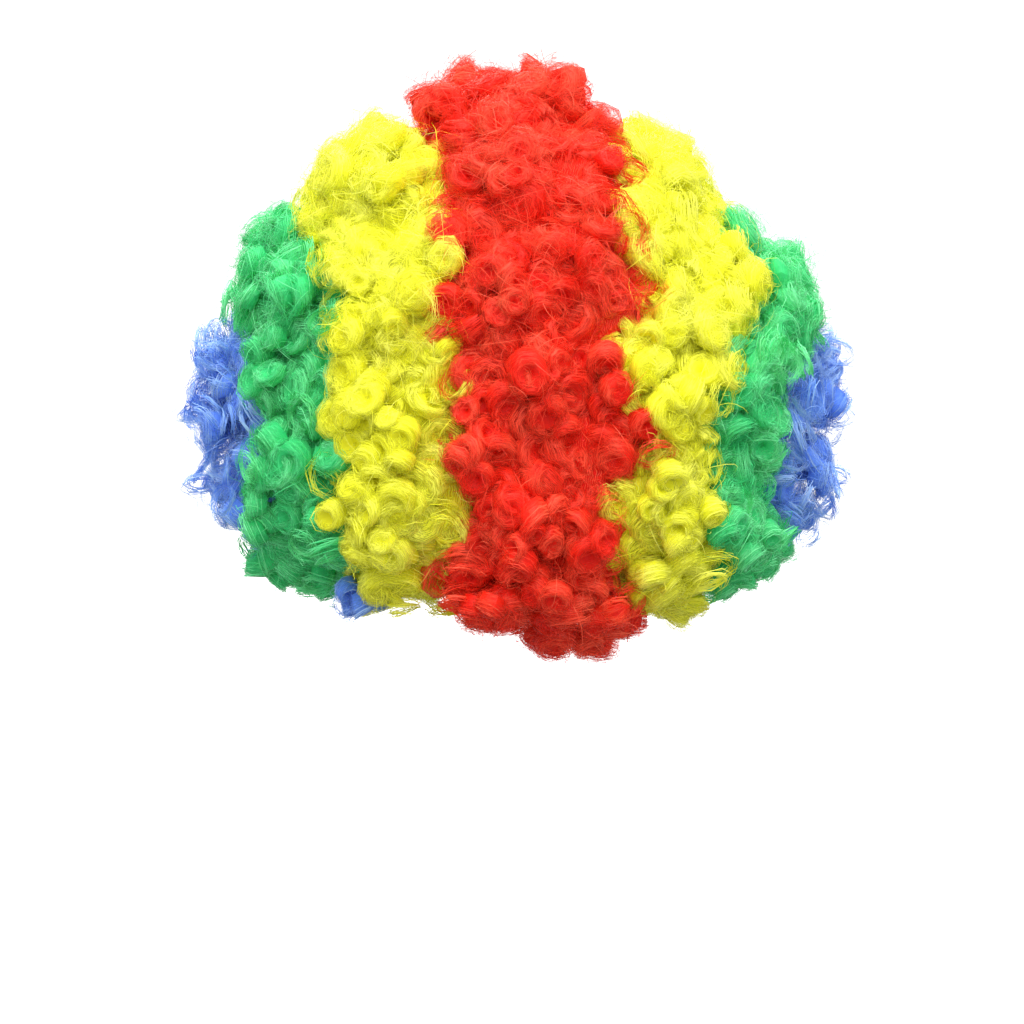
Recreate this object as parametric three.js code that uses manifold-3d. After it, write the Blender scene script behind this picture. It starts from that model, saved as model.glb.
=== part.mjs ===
// Curly clown wig: a stretch cap that carries seven bands of ringlets in four colours, side by side from the
// forehead over the crown to the nape.
// Millimetres, +Z up. The wearer faces -Y, and the wearer's left is +X.
// The origin is the crown of the head, at the inside top of the cap.
import * as THREE from "three";
import { ParametricGeometry } from "three/addons/geometries/ParametricGeometry.js";
import { mergeVertices } from "three/addons/utils/BufferGeometryUtils.js";
import Module from "manifold-3d";

const wasm = await Module();
wasm.setup();

const QUARTER_TURN = Math.PI / 2;
const FULL_TURN = Math.PI * 2;
const MERGE_DISTANCE = 1e-3;
const PROBE_RADIUS = 2;

// Head that the wig fits, 555 mm round
const HEAD_HALF_WIDTH = 78;
const HEAD_HALF_LENGTH = 98;
const HEAD_HALF_HEIGHT = 95; // from the crown down to the widest level
const NAPE_TUCK = 0.35; // how fast the head narrows below its widest level

// Stretch cap that carries the hair
const CAP_WALL = 2;
const RIM_DEPTH_FRONT = 62; // below the crown, at the forehead
const RIM_DEPTH_NAPE = 160; // below the crown, at the nape
const PIECE_GAP = 0.4; // between neighbouring pieces
const CAP_SPOKES = 20;
const CAP_RINGS = 7;

// Mass of hair: half an ellipsoid above its widest level, and a fuller, flatter bowl below it
const HAIR_CENTRE = new THREE.Vector3(0, 14, -104);
const HAIR_HALF_WIDTH = 174;
const HAIR_HALF_LENGTH = 166;
const BOWL_POWER = 3.5; // 2 would make the bowl an ellipsoid
const GROOVE_DEPTH = 9; // of the furrow between two bands
const BAND_SHOULDER = 4; // power of a band's cross curve: higher is flatter on top
const SEAM_LEAN = 0.2; // degrees kept clear at each side of a band

// Opening for the face, an arch in the front of the hair
const FACE_HALF_WIDTH = 66;
const FACE_TOP = -58;
const FACE_ARCH_HEIGHT = 58;
const FACE_BOTTOM = -300;
const FACE_BACK = -30; // how far back the arch is cut
const FACE_FRONT = -230;
const FACE_ARCH_STEPS = 5;

// Locks: each is a barrel curl, open at its tip, that stands up out of the backing
const BACKING_DEPTH = 16; // of the backing's surface below the tips of the locks
const LOCK_AREA = 2250; // of the hair's outer surface for each lock, in square millimetres
const LOCK_TILT = 0.32; // largest lean of a lock's axis, in radians
const LOCK_SWELL = 0.14; // how much larger or smaller than its neighbours a lock may be
const GOLDEN_TURN = FULL_TURN * 0.381966; // spin from each lock to the next
const TILT_STEP = { forward: 2.4, sideways: 1.7 }; // radians of tilt's wave from each lock to the next
const SWELL_STEP = 3.7;
const LOCK_CLEARANCE = 40; // room above the hair's outer surface for the tips of the locks
const LOCK_SIDES = 5;
const BAND_SPOKES = 20;
const BAND_STRIPS = 2;

// Outline of a lock from its root, up the outside and down into the open tip. Heights are from the tip.
const LOCK_OUTLINE = [
  { radius: 0, height: -30 },
  { radius: 17, height: -30 },
  { radius: 20, height: 0 },
  { radius: 11, height: -1 },
  { radius: 0, height: -14 },
];

// One row for each colour band, from the middle outwards. Its two seams are leans at the hair's centre, in
// degrees from the plane between the wearer's eyes, and lift is added to them at the top of the hair.
// rise and fall are from the hair's widest level up to the band's top and down to its lower edge.
const BANDS = [
  { name: "hair_red", colour: 0xe5301c, seams: [-18, 18], lift: [0, 0], rise: 195, fall: 130, rows: 3 },
  { name: "hair_yellow", colour: 0xeeee12, seams: [18, 42], lift: [0, 0], rise: 184, fall: 110, rows: 2 },
  { name: "hair_green", colour: 0x1fae4e, seams: [42, 63], lift: [0, 11], rise: 178, fall: 106, rows: 2 },
  { name: "hair_blue", colour: 0x3a5fd8, seams: [63, 90], lift: [11, 0], rise: 172, fall: 98, rows: 2 },
];

// A closed three.js surface as a solid, without the slivers that a grid leaves at its poles
function solid(geometry) {
  const bare = new THREE.BufferGeometry();
  bare.setAttribute("position", geometry.getAttribute("position"));
  bare.setIndex(geometry.index);
  const merged = mergeVertices(bare, MERGE_DISTANCE);
  const corners = merged.index.array;
  const triangles = [];
  for (let i = 0; i < corners.length; i += 3) {
    const [a, b, c] = corners.slice(i, i + 3);
    if (a !== b && b !== c && c !== a) triangles.push(a, b, c);
  }
  const points = merged.attributes.position.array;
  const made = closedMesh(points, triangles);
  return made.volume() > 0 ? made : closedMesh(points, triangles.reverse());
}

function closedMesh(points, triangles) {
  const triVerts = Uint32Array.from(triangles);
  return new wasm.Manifold(new wasm.Mesh({ numProp: 3, vertProperties: points, triVerts }));
}

// A closed surface of rings that run once round: place(turn, ring, target) sets one point
function ringSolid(place, spokes, ringCount) {
  const last = ringCount - 1;
  const surface = (u, v, target) => place(u === 1 ? 0 : u * FULL_TURN, Math.round(v * last), target);
  return solid(new ParametricGeometry(surface, spokes, last));
}

// The largest of the bodies that a cut leaves
function largestBody(made) {
  return made.decompose().reduce((best, body) => (body.volume() > best.volume() ? body : best));
}

function namedMesh(name, made, look) {
  const { vertProperties, triVerts } = made.getMesh();
  const geometry = new THREE.BufferGeometry();
  geometry.setAttribute("position", new THREE.BufferAttribute(vertProperties, 3));
  geometry.setIndex(new THREE.BufferAttribute(triVerts, 1));
  geometry.computeVertexNormals();
  const mesh = new THREE.Mesh(geometry, new THREE.MeshStandardMaterial(look));
  mesh.name = name;
  return mesh;
}

// A point of the head, pushed out by offset. turn runs round from the forehead towards the wearer's left,
// and fall runs from the crown at 0 to the widest level at a quarter turn, and on down the neck.
function headPoint(turn, fall, offset, target) {
  const below = Math.max(0, fall - QUARTER_TURN);
  const width = below > 0 ? 1 - NAPE_TUCK * below ** 2 : Math.sin(fall);
  const height = below > 0 ? -HEAD_HALF_HEIGHT * below : (HEAD_HALF_HEIGHT + offset) * Math.cos(fall);
  return target.set(
    (HEAD_HALF_WIDTH + offset) * width * Math.sin(turn),
    -(HEAD_HALF_LENGTH + offset) * width * Math.cos(turn),
    height - HEAD_HALF_HEIGHT,
  );
}

// The fall at which the head is depth below its crown
function fallAt(depth) {
  const share = depth / HEAD_HALF_HEIGHT;
  return share > 1 ? QUARTER_TURN + share - 1 : Math.acos(1 - share);
}

// The rim slopes evenly from the forehead down to the nape
function rimDepth(turn) {
  const backward = (1 - Math.cos(turn)) / 2;
  return RIM_DEPTH_FRONT + (RIM_DEPTH_NAPE - RIM_DEPTH_FRONT) * backward;
}

// The fall of one of the cap's rings, in even steps from the crown to the rim
function capFall(turn, ring) {
  return (fallAt(rimDepth(turn)) * ring) / (CAP_RINGS - 1);
}

// Wall from the crown to the rim on the outside, and back up to the crown on the inside
function makeCap() {
  const place = (turn, ring, target) => {
    const outside = ring < CAP_RINGS;
    const step = outside ? ring : 2 * CAP_RINGS - 1 - ring;
    return headPoint(turn, capFall(turn, step), outside ? CAP_WALL : 0, target);
  };
  const look = { color: 0x17171a, roughness: 0.9, metalness: 0 };
  return namedMesh("cap", ringSolid(place, CAP_SPOKES, 2 * CAP_RINGS), look);
}

// Room for the capped head, straight down from the rim
function makeHeadRoom() {
  const place = (turn, ring, target) => {
    headPoint(turn, capFall(turn, Math.min(ring, CAP_RINGS - 1)), CAP_WALL + PIECE_GAP, target);
    if (ring >= CAP_RINGS) target.z = FACE_BOTTOM;
    if (ring > CAP_RINGS) target.set(0, 0, FACE_BOTTOM);
    return target;
  };
  return ringSolid(place, CAP_SPOKES, CAP_RINGS + 2);
}

// Arch through the front of the hair
function makeFaceRoom() {
  const spring = FACE_TOP - FACE_ARCH_HEIGHT;
  const arch = new THREE.Shape();
  arch.moveTo(-FACE_HALF_WIDTH, FACE_BOTTOM);
  arch.lineTo(FACE_HALF_WIDTH, FACE_BOTTOM);
  arch.lineTo(FACE_HALF_WIDTH, spring);
  arch.absellipse(0, spring, FACE_HALF_WIDTH, FACE_ARCH_HEIGHT, 0, Math.PI, false, 0);
  arch.lineTo(-FACE_HALF_WIDTH, FACE_BOTTOM);
  const cut = { depth: FACE_BACK - FACE_FRONT, bevelEnabled: false, curveSegments: FACE_ARCH_STEPS };
  const geometry = new THREE.ExtrudeGeometry(arch, cut);
  geometry.rotateX(QUARTER_TURN);
  geometry.translate(0, FACE_BACK, 0);
  return solid(geometry);
}

// The leans of a band's two seams on a spoke, which runs round from straight up towards the back
function seamsAt(band, spoke) {
  const upward = Math.max(0, Math.cos(spoke)) ** 2;
  return band.seams.map((lean, edge) => lean + band.lift[edge] * upward);
}

function isOutermost(band) {
  return Math.abs(band.seams[1]) >= 90;
}

// How high a band stands at a lean: full along its middle, falling to the groove at its seams
function bandHeight(band, lean, spoke) {
  const [inner, outer] = seamsAt(band, spoke);
  const middle = isOutermost(band) ? outer : (inner + outer) / 2;
  const across = (lean - middle) / (inner - middle);
  return -GROOVE_DEPTH * Math.abs(across) ** BAND_SHOULDER;
}

function hairDirection(lean, spoke) {
  const angle = THREE.MathUtils.degToRad(lean);
  const forward = Math.cos(angle);
  return new THREE.Vector3(Math.sin(angle), forward * Math.sin(spoke), forward * Math.cos(spoke));
}

// Distance from the hair's centre to its outer surface
function hairReach(direction, band) {
  const level = Math.hypot(direction.x / HAIR_HALF_WIDTH, direction.y / HAIR_HALF_LENGTH);
  if (direction.z >= 0) return 1 / Math.hypot(level, direction.z / band.rise);
  const down = -direction.z / band.fall;
  return (level ** BOWL_POWER + down ** BOWL_POWER) ** (-1 / BOWL_POWER);
}

// A point of a band's outer surface, moved by offset
function hairPoint(band, lean, spoke, offset, target) {
  const direction = hairDirection(lean, spoke);
  const reach = hairReach(direction, band) + bandHeight(band, lean, spoke) + offset;
  return target.copy(HAIR_CENTRE).addScaledVector(direction, reach);
}

// All that a band may fill, from the hair's centre out to its surface moved by offset
function makeSector(band, offset) {
  const clear = Math.sign(band.seams[1] - band.seams[0]) * SEAM_LEAN;
  const place = (spoke, ring, target) => {
    if (ring === 0 || ring === BAND_STRIPS + 2) return target.copy(HAIR_CENTRE);
    const [inner, outer] = seamsAt(band, spoke);
    const end = isOutermost(band) ? outer : outer - clear;
    const lean = THREE.MathUtils.lerp(inner + clear, end, (ring - 1) / BAND_STRIPS);
    return hairPoint(band, lean, spoke, offset, target);
  };
  return ringSolid(place, BAND_SPOKES, BAND_STRIPS + 3);
}

// One lock along the Z axis, its tip at the origin
function makeLock() {
  const outline = LOCK_OUTLINE.map(({ radius, height }) => new THREE.Vector2(radius, height));
  return new THREE.LatheGeometry(outline, LOCK_SIDES).rotateX(QUARTER_TURN);
}

// Places for a band's locks: staggered rows that run round the hair, each lock with its outward direction
function lockPlaces(band) {
  const places = [];
  const bandLean = Math.abs(band.seams[1] - band.seams[0]);
  const spacing = (LOCK_AREA * band.rows) / (HAIR_HALF_WIDTH * THREE.MathUtils.degToRad(bandLean));
  for (let row = 0; row < band.rows; row += 1) {
    const across = (row + 0.5) / band.rows;
    const rowLean = THREE.MathUtils.lerp(...band.seams, across);
    const round = FULL_TURN * HAIR_HALF_LENGTH * Math.cos(THREE.MathUtils.degToRad(rowLean));
    const count = Math.max(3, Math.round(round / spacing));
    for (let i = 0; i < count; i += 1) {
      const spoke = ((i + (row % 2) / 2) / count) * FULL_TURN;
      const lean = THREE.MathUtils.lerp(...seamsAt(band, spoke), across);
      places.push({
        point: hairPoint(band, lean, spoke, 0, new THREE.Vector3()),
        outward: hairDirection(lean, spoke),
      });
    }
  }
  return places;
}

// Locks clear of the head and the face, each turned, tilted and sized a little differently from the last
function makeLocks(band, lock, rooms) {
  const up = new THREE.Vector3(0, 0, 1);
  const made = [];
  lockPlaces(band).forEach(({ point, outward }, number) => {
    const root = point.clone().addScaledVector(outward, -BACKING_DEPTH);
    if (rooms.some((room) => holds(room, root))) return;
    const spin = new THREE.Quaternion().setFromAxisAngle(up, number * GOLDEN_TURN);
    const forward = LOCK_TILT * Math.sin(number * TILT_STEP.forward);
    const sideways = LOCK_TILT * Math.cos(number * TILT_STEP.sideways);
    const tilt = new THREE.Quaternion().setFromEuler(new THREE.Euler(forward, sideways, 0));
    const stand = new THREE.Quaternion().setFromUnitVectors(up, outward);
    const turn = stand.multiply(tilt).multiply(spin);
    const size = 1 + LOCK_SWELL * Math.sin(number * SWELL_STEP);
    const place = new THREE.Matrix4().compose(point, turn, new THREE.Vector3(size, size, 1));
    made.push(solid(lock.clone().applyMatrix4(place)));
  });
  return made;
}

// Whether a space holds a point, by a small probe there
function holds(space, point) {
  const probe = new THREE.OctahedronGeometry(PROBE_RADIUS).translate(point.x, point.y, point.z);
  return space.intersect(solid(probe)).volume() > 0;
}

// Locks fused to a backing, cut to the band's own sector and clear of the head and the face
function makeHair(band, lock, rooms) {
  const backing = makeSector(band, -BACKING_DEPTH);
  const sector = makeSector(band, LOCK_CLEARANCE);
  const whole = makeLocks(band, lock, rooms).reduce((made, curl) => made.add(curl), backing);
  const cleared = rooms.reduce((made, room) => made.subtract(room), whole.intersect(sector));
  const look = { color: band.colour, roughness: 0.45, metalness: 0 };
  return namedMesh(band.name, largestBody(cleared), look);
}

// The band as it lies on one side of the head: 1 for the wearer's left, -1 for the right
function bandOn(band, side) {
  const name = `${band.name}_${side > 0 ? "left" : "right"}`;
  const mirrored = (leans) => leans.map((lean) => side * lean);
  return { ...band, name, seams: mirrored(band.seams), lift: mirrored(band.lift) };
}

const wig = new THREE.Group();
wig.add(makeCap());
const rooms = [makeHeadRoom(), makeFaceRoom()];
const lock = makeLock();
const [middleBand, ...sideBands] = BANDS;
wig.add(makeHair(middleBand, lock, rooms));
for (const band of sideBands) {
  for (const side of [1, -1]) wig.add(makeHair(bandOn(band, side), lock, rooms));
}

export default wig;
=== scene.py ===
"""Curly clown wig: seven bands of ringlets in four colours on a black stretch cap.

Metres, +Z up. The wearer faces -Y, and the wearer's left is +X. The origin is the crown of the head, at the
inside top of the cap. Most ringlets are cores with sheets of fine fibre rolled round them. Single fibres are
narrow ribbons. All that is alike in a band is one mesh.
"""
import math

import bpy
import numpy as np
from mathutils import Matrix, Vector


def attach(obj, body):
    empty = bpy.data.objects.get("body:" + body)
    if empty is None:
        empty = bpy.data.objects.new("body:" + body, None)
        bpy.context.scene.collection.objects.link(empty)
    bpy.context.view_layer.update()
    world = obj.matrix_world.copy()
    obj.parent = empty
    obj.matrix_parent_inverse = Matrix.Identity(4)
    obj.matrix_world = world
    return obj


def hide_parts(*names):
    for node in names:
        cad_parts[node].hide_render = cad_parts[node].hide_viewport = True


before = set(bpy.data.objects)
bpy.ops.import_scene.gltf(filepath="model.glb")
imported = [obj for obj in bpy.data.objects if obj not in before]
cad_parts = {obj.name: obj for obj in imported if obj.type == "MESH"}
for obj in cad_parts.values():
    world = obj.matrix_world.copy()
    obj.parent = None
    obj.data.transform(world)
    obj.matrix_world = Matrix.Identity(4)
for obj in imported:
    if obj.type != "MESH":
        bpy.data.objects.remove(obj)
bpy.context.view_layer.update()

FULL_TURN = 2 * math.pi
SEED = 11

# Head that the cap fits, and the cap's rim, as in the solids
HEAD_HALF_WIDTH = 0.078
HEAD_HALF_LENGTH = 0.098
HEAD_HALF_HEIGHT = 0.095
NAPE_TUCK = 0.35
CAP_WALL = 0.002
RIM_DEPTH_FRONT = 0.062
RIM_DEPTH_NAPE = 0.160

# The cap's mesh. Its hem starts at a share of the way from crown to rim, and is full one fade further on
CAP = {"name": "cap", "slot": "cap_net"}
CAP_SPOKES = 80
CAP_RINGS = 30
CROWN_SHARE = 0.004
CAP_HEM = {"start": 0.93, "fade": 0.03, "swell": 0.0004}

# Mass of hair, as in the solids: half an ellipsoid above its widest level, a fuller bowl below
HAIR_CENTRE = np.array([0.0, 0.014, -0.104])
HAIR_HALF_WIDTH = 0.174
HAIR_HALF_LENGTH = 0.166
BOWL_POWER = 3.5
GROOVE_DEPTH = 0.009
BAND_SHOULDER = 4
FARTHEST = 0.4
HALVINGS = 24

# Opening for the face, as in the solids
FACE_HALF_WIDTH = 0.066
FACE_TOP = -0.058
FACE_ARCH_HEIGHT = 0.058
FACE_BACK = -0.030

# Colour bands, as in the solids. Seams are leans at the hair's centre, in degrees from the plane between the
# wearer's eyes. Lift is added at the top. Rise and fall are from the hair's widest level. Loose is the share
# of ringlets that are open loops of fibre
BAND_ROWS = [
    {"slot": "hair_red", "seams": (-18, 18), "lift": (0, 0), "rise": 0.195, "fall": 0.130, "loose": 0.04},
    {"slot": "hair_yellow", "seams": (18, 42), "lift": (0, 0), "rise": 0.184, "fall": 0.110, "loose": 0.04},
    {"slot": "hair_green", "seams": (42, 63), "lift": (0, 11), "rise": 0.178, "fall": 0.106, "loose": 0.12},
    {"slot": "hair_blue", "seams": (63, 90), "lift": (11, 0), "rise": 0.172, "fall": 0.098, "loose": 0.55},
]

# How far each seam strays from its lean, in degrees: at every ten degrees of the spoke from the top down the
# back, with none from the first to the second of the plain spokes, and by waves
SEAM_SHIFTS = {
    18: (2, 2.5, 2.5, -1, -2, -2, -1, 3.5, -3.5, 1.3, 1, -4, -1.5, 1, 0),
    -18: (1, 1, 2.5, 3, 2, 2.2, -2.5, -1.5, 6, -2.5, -4, 5.7, 6.2, 2, -2),
    42: (6, 6, 6, 5.5, 5.5, 3, -1.5, 0.5, -1.5, 5.2, 2.5, 2.6, -2.5, -7, -6),
    -42: (-2, -2, -2.5, -2, -4, -8, -7.5, -2.5, 2, 7, 4, 5.5, 7, 7, 6),
    63: (0, 0, 0, 0, 0, 2, 5, 7, 7, 3.5, 3, 7, 2.5, 4, -3),
    -63: (0, 0, 0, 0, 0, 0, 0, 4, 5, 7, 7, 8, 8, 7, 4),
}
SHIFT_STEP = 10
PLAIN_SPOKES = (170, 330)
SEAM_WAVES = [
    {"height": 1.3, "count": 13, "phase": 5.1},
    {"height": 1.04, "count": 23, "phase": 2.3},
]

# Colours of the fibre, mixed by a tone: the shade colour is painted shade in hollows, at roots and between
# curls; body is most of a curl; pale is a painted highlight on shoulders and loose fibres. Random tones and
# blotches of dye also reach towards both ends
DYES_AND_PAINTED_LIGHT = {
    "hair_red": {"shade": (0.86, 0.007, 0.003), "body": (0.94, 0.020, 0.006), "pale": (1.0, 0.13, 0.06)},
    "hair_yellow": {"shade": (0.95, 0.91, 0.014), "body": (0.97, 0.975, 0.032), "pale": (0.99, 1.0, 0.16)},
    "hair_green": {"shade": (0.018, 0.54, 0.15), "body": (0.055, 0.70, 0.22), "pale": (0.24, 0.91, 0.41)},
    "hair_blue": {"shade": (0.085, 0.21, 0.84), "body": (0.15, 0.34, 0.97), "pale": (0.45, 0.67, 1.0)},
}

# How far the crown's form is lowered or raised at some leans, in degrees and metres
CROWN_LEANS = (-60, -38, -12, 4, 20, 50, 70)
CROWN_LUMPS = (0.0, -0.005, -0.009, 0.001, -0.003, 0.005, 0.0)

# Ringlets at the lower edge hang a little lower, are frizzier, and more of them are open
HEM_LEVEL = -0.195
HEM_DROP = 0.006
HEM_DROP_FADE = 0.03
HEM_HEIGHT = 0.020
HEM_FRIZZ = 0.35
OPEN_AT_HEM = 0.35

# Tufts: heaps of ringlets, which fan out from their middles
TUFT_SPACING = 0.047
TUFT_RADIUS = 0.024
TUFT_REACH = 1.2
TUFT_HEIGHT = 0.012
TUFT_FAN = 0.32
TUFT_PULL = 0.06

# Places for ringlets: rows a little closer than places in a row, each place moved by shares of a space
ROW_SPACING = 0.9
ROW_SHAKE = 0.5
ROW_STRAY = 0.25
SHAKE = 0.4

# Ringlets, and how much they differ
RINGLET_SPACING = 0.0146
RINGLET_RADIUS = 0.0094
RINGLET_LENGTH = 0.027
RINGLET_TURNS = 3.0
RINGLET_LEAN = 0.27
RINGLET_HANG = 0.2
RINGLET_BOW = 0.35
TIP_DEPTH = (-0.012, -0.003)
RADIUS_FACTORS = (0.72, 1.18)
LENGTH_FACTORS = (0.8, 1.15)
TURNS_FACTORS = (0.85, 1.15)
SLANTS = (0.1, 0.45)
TONES = (-0.1, 0.1)
HOLLOW_POWER = (0.3, 1.7)
HOLE_WIDTH = (0.06, 0.28)
HOLE_SINK = (0.12, 0.5)
LEAST_FRIZZ = 0.25
FRIZZ_DEPTH = 0.12
FRIZZ_SWELL = 0.14

# A ringlet whose root would stick out of the hair's form is shortened a few times
ROOT_DEPTH = 0.010
SHORTENINGS = 4
SHORTENED = 0.7

# Outline of a ringlet, by shares from its root: where the barrel, the shoulder and the hollow's side end
BARREL_END = 0.45
SHOULDER_END = 0.70
HOLLOW_END = 0.86
SHOULDER_WIDTH = (0.53, 0.4)
ROOT_WIDTH = 0.7
SWELL_SHARE = 0.85
FLOOR_WIDTH = 0.95
FLOOR_SINK = 0.15

# Cores of ringlets, sheets of fine fibre rolled round them, and the haze, a thinner sheet round frizzy ones
ROLL_AROUND = 9
ROLL_WAVE = (0.03, 0.08)
ROLL_NUMBER_STEP = 17.3
# Tone of rolled sheets: a base, a painted highlight round a curl's shoulder, and painted shade in its hollow
CURL_TONE = 0.42
SHOULDER_HIGHLIGHT_TONE = 0.16
HOLLOW_SHADE_TONE = 0.12
CORE_SHARES = np.array([0.33, 0.34, 0.45, 0.58, 0.70, 1.0])
CORE_WIDTHS = np.array([0.05, 1, 1, 1, 1, 1])
CORE_SIZE = 0.86
CORE_TILT = 2
CORE_CIRCLE = 0.7
SHEET_SHARES = np.array([0.24, 0.42, 0.54, 0.62, 0.70, 0.86, 1.0])
SHEET_COVER = 1.02
SHEET_TURNS = 1.1
SHEET_GROWTH = 0.14
SHEET_DRIFT = 7.5
SHEET_STRETCH = 4
LOOSE_COVER = 0.3
HAZE_SHARES = np.array([0.36, 0.5, 0.6, 0.70, 0.88])
HAZE_SIZE = (1.13, 0.1)
HAZE_COVER = 0.91
HAZE_DRIFT = -10
HAZE_LEAST = 0.48

# Strands: narrow ribbons that run out at both ends, with painted shade towards the root
STRAND_TAPER = 0.16
STRAND_END = 0.1
STRAND_WIDTHS = (0.7, 1.3)
STRAND_TONE_STRAY = 0.14
ROOT_SHADE_TONE = 0.2

# Single fibres on closed ringlets, and those that make an open one
FIBRE_STEPS = 10
FIBRE_WIDTH = 0.00033
# Fibres get a high tone, paler than the curls: a painted highlight of light through thin fibres
FIBRE_HIGHLIGHT_TONE = 0.74
FIBRE_STAND = 1.03
FIBRE_SWAY = 0.0013
FIBRE_SWAY_WAVES = (0.8, 2.3)
CLOSED_FIBRES = {"number": 5, "begin": (0.36, 0.6), "run": 0.2, "turn": 0.45, "spread": (0.06, 0.09)}
OPEN_FIBRES = {"number": 16, "begin": (0.3, 0.42), "run": (0.3, 0.6), "turn": 1.4, "spread": 0.12}
OPEN_END = 0.68
OPEN_START = 0.8
OPEN_SWAY = 0.6

# Loose fibres round ringlets: arcs, and loops beside them. Turns are in radians
FRIZZ_PER_RINGLET = (5, 29)
FRIZZ_PER_OPEN = 4
FRIZZ_STEPS = 5
FRIZZ_WIDTH = 0.00022
FRIZZ_REACH = (1.02, 1.35, 1.7)
# Frizz gets a high tone, paler than the curls: a painted highlight of light through thin fibres
FRIZZ_HIGHLIGHT_TONE = 0.64
FRIZZ_LEAN = 0.55
FRIZZ_CENTRE = 0.75
FRIZZ_SCATTER = 0.0025
FRIZZ_UNEVEN = 0.22
FRIZZ_ASIDE = 0.003
LOOP_SHARE = 0.45
LOOP_RADII = (0.2, 0.45)
LOOP_BESIDE = (0.8, 1.15)
LOOP_TURNS = (1.2, 2.7)
ARC_TURNS = (0.5, 1.5)

# Ringlets round the face: how far they go along the arch and back, and how they lie
EDGE_RUN = 0.205
EDGE_DEPTHS = (-0.045, -0.150)
EDGE_QUARTER = 1.5
EDGE_FORWARD = 0.8
EDGE_STRAY = 0.25
EDGE_UNDER = 0.006

# Ringlets inside the wig, below the cap's rim
INNER_SPACING = 0.0170
INNER_LEVELS = (-0.085, -0.215)
INNER_STAND = (0.000, 0.005)
INNER_HANG = 0.5
INNER_UNDER = 0.008
INNER_BELOW_RIM = 0.004

# Open ringlets: loops of fibre without a sheet, more of them at the seams
OPEN_AT_SEAM = 0.5
SEAM_REACH = 0.011
OPEN_STAND = 0.004
OPEN_LEAN = (0.12, 1.1)
OPEN_FAN = 0.4

# Curls under the ringlets, which fill the gaps
UNDER_SPACING = 0.0172
UNDER_RADIUS = 0.0115
UNDER_LENGTH = 0.020
UNDER_DEPTH = (-0.020, -0.014)
UNDER_THINNED = 0.5
UNDER_STRAY = 0.35

# Matted roots. They stop just short of the wig's two sides, where the columns of their grid would meet
BACKING_ROWS = 12
BACKING_COLUMNS = 120
BACKING_DEPTH = 0.020
BACKING_GAP = 0.001
BACKING_LEAST = 0.003
BACKING_LUMP = 0.003
POLE_LEAN = math.radians(89.7)

# A lock of blue hair that hangs out at the lower edge on the wearer's left, where yellow and green meet
LOCK = {"name": "stray_lock", "slot": "hair_blue", "loose": 0.3}
LOCK_TIPS = np.array(
    [
        [0.088, 0.097, -0.208],
        [0.099, 0.095, -0.204],
        [0.094, 0.090, -0.209],
        [0.084, 0.091, -0.204],
        [0.096, 0.100, -0.199],
        [0.090, 0.092, -0.205],
    ]
)
LOCK_AXIS = np.array([0.1, 0.6, -0.8])
LOCK_STRAY = 0.45
LOCK_RADIUS = 0.0062
LOCK_SEED = 5

# Margin of each square in the map for baking
CELL_MARGIN = 0.12

# Camera, floor and light. A sun's turn is from the front of the wig, in degrees like its spread and height
CAMERA_TURN = math.radians(175.7)
CAMERA_LEVEL = -0.155
CAMERA_ASIDE = 0.004
CAMERA_DISTANCE = 1.9
FRAME_WIDTH = 0.563
SENSOR_WIDTH = 36.0
FLOOR_LEVEL = -0.50
FLOOR_REACH = 60
SUNS = [
    {"name": "overhead", "strength": 0.66, "spread": 60, "turn": 172, "height": 66},
    {"name": "fill_front", "strength": 0.36, "spread": 60, "turn": 0, "height": 30},
    {"name": "fill_back", "strength": 0.22, "spread": 60, "turn": 185, "height": 22},
]


def unit(vectors):
    """Vectors divided by their own lengths."""
    return vectors / np.linalg.norm(vectors, axis=-1, keepdims=True)


def smooth(x):
    """A smooth step from 0 at x = 0 to 1 at x = 1: 3x squared less 2x cubed."""
    x = np.clip(x, 0, 1)
    return x * x * (3 - 2 * x)


def hair_direction(lean, spoke):
    """Directions from the hair's centre: sideways by the sine of the lean, and round from straight up to the
    back by the spoke, scaled by the cosine of the lean."""
    round_head = np.cos(lean)
    return np.stack([np.sin(lean), round_head * np.sin(spoke), round_head * np.cos(spoke)], axis=-1)


def all_bands():
    """Every band of hair: the middle one once, and each other one on the wearer's left and right."""
    bands = []
    for row in BAND_ROWS:
        sides = {"_left": 1, "_right": -1}
        if row["seams"][0] == -row["seams"][1]:
            sides = {"": 1}
        for side, sign in sides.items():
            mirrored = {key: tuple(sign * lean for lean in row[key]) for key in ("seams", "lift")}
            bands.append({**row, **mirrored, "name": row["slot"] + side})
    return bands


def seams_at(band, spoke):
    """Leans of a band's two seams on each spoke: lifted at the top by the square of the cosine of the spoke,
    shifted by the table, and wandering by waves."""
    upward = np.maximum(np.cos(spoke), 0) ** 2
    leans = []
    for lean, lift in zip(band["seams"], band["lift"]):
        lean_here = lean + lift * upward
        if lean in SEAM_SHIFTS:
            shifts = SEAM_SHIFTS[lean]
            places = np.arange(len(shifts)) * SHIFT_STEP
            shift = np.interp(np.degrees(spoke), (*places, *PLAIN_SPOKES), (*shifts, 0, 0), period=360)
            lean_here = lean_here + shift
            for wave in SEAM_WAVES:
                lean_here = lean_here + wave["height"] * np.sin(wave["count"] * spoke + wave["phase"] * lean)
        leans.append(np.radians(lean_here))
    return leans


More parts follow.
